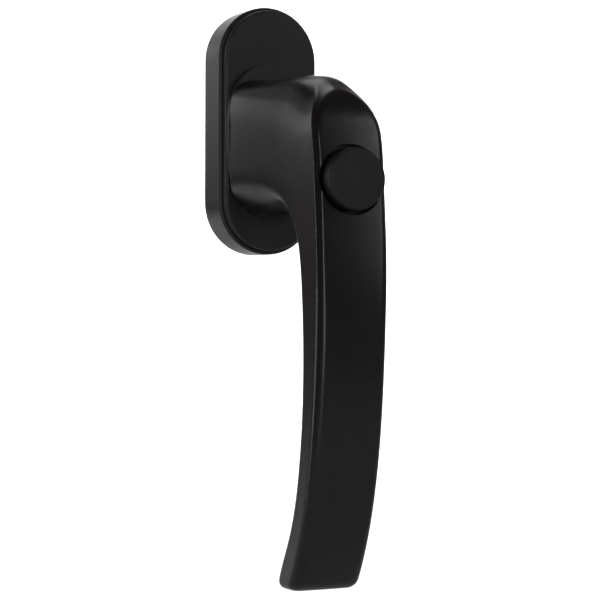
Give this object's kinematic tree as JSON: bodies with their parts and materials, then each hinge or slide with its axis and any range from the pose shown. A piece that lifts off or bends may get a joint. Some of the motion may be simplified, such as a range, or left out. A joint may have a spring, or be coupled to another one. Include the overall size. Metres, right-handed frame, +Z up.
{
  "type": "locking window handle",
  "caption": "Black push-button locking handle for a turn-and-tilt window sash, on an oblong rosette with a swinging cover, square spindle and fixing screws.",
  "frame": {"origin": "on the rosette's mounting face where the spindle axis crosses it", "axes": "+X right seen from the room, +Y out of the back of the rosette into the sash, +Z up; the grip hangs down -Z in the closed position"},
  "size_m": [0.03, 0.0925, 0.16],
  "materials": {
    "black_handle": "black anodised, satin, soft reflections",
    "black_rosette": "black powder coat, satin",
    "black_cover": "fine-textured black",
    "black_trim": "plain black moulding",
    "black_button": "matte blue-black moulding",
    "zinc_steel": "zinc plated",
    "spring_steel": "dark spring temper",
    "bearing_metal": "raw zinc die casting",
    "bearing_plastic": "natural acetal"
  },
  "bodies": {
    "rosette": {"rosette_base": "black_rosette", "screw_upper": "zinc_steel", "screw_lower": "zinc_steel", "keeper_bush": "bearing_metal", "detent_leaf_upper": "spring_steel", "detent_leaf_lower": "spring_steel"},
    "cover": {"cover_plate": "black_cover"},
    "handle": {"handle_body": "black_handle", "neck_collar": "black_trim", "thrust_washer": "bearing_plastic", "retaining_clip": "spring_steel", "detent_hub": "bearing_metal", "spindle": "zinc_steel", "cross_pin": "zinc_steel", "button_sleeve": "black_trim"},
    "button": {"push_button": "black_button", "lock_rod": "zinc_steel", "lock_arm": "bearing_metal", "lock_pin": "zinc_steel", "button_spring": "spring_steel"}
  },
  "joints": [
    {"name": "handle_turn", "type": "hinge", "parent": "rosette", "child": "handle", "pos_m": [0, 0, 0], "axis": [0, 1, 0], "range_deg": [-180, 180], "deforming": ["detent_leaf_upper", "detent_leaf_lower"]},
    {"name": "cover_swing", "type": "hinge", "parent": "rosette", "child": "cover", "pos_m": [0, 0, 0], "axis": [0, 1, 0], "range_deg": [0, 90]},
    {"name": "button_press", "type": "slide", "parent": "handle", "child": "button", "axis": [0, 1, 0], "range_m": [0, 0.0033], "stiffness_N_per_m": 400, "springref_m": -0.006, "deforming": ["button_spring"]}
  ]
}
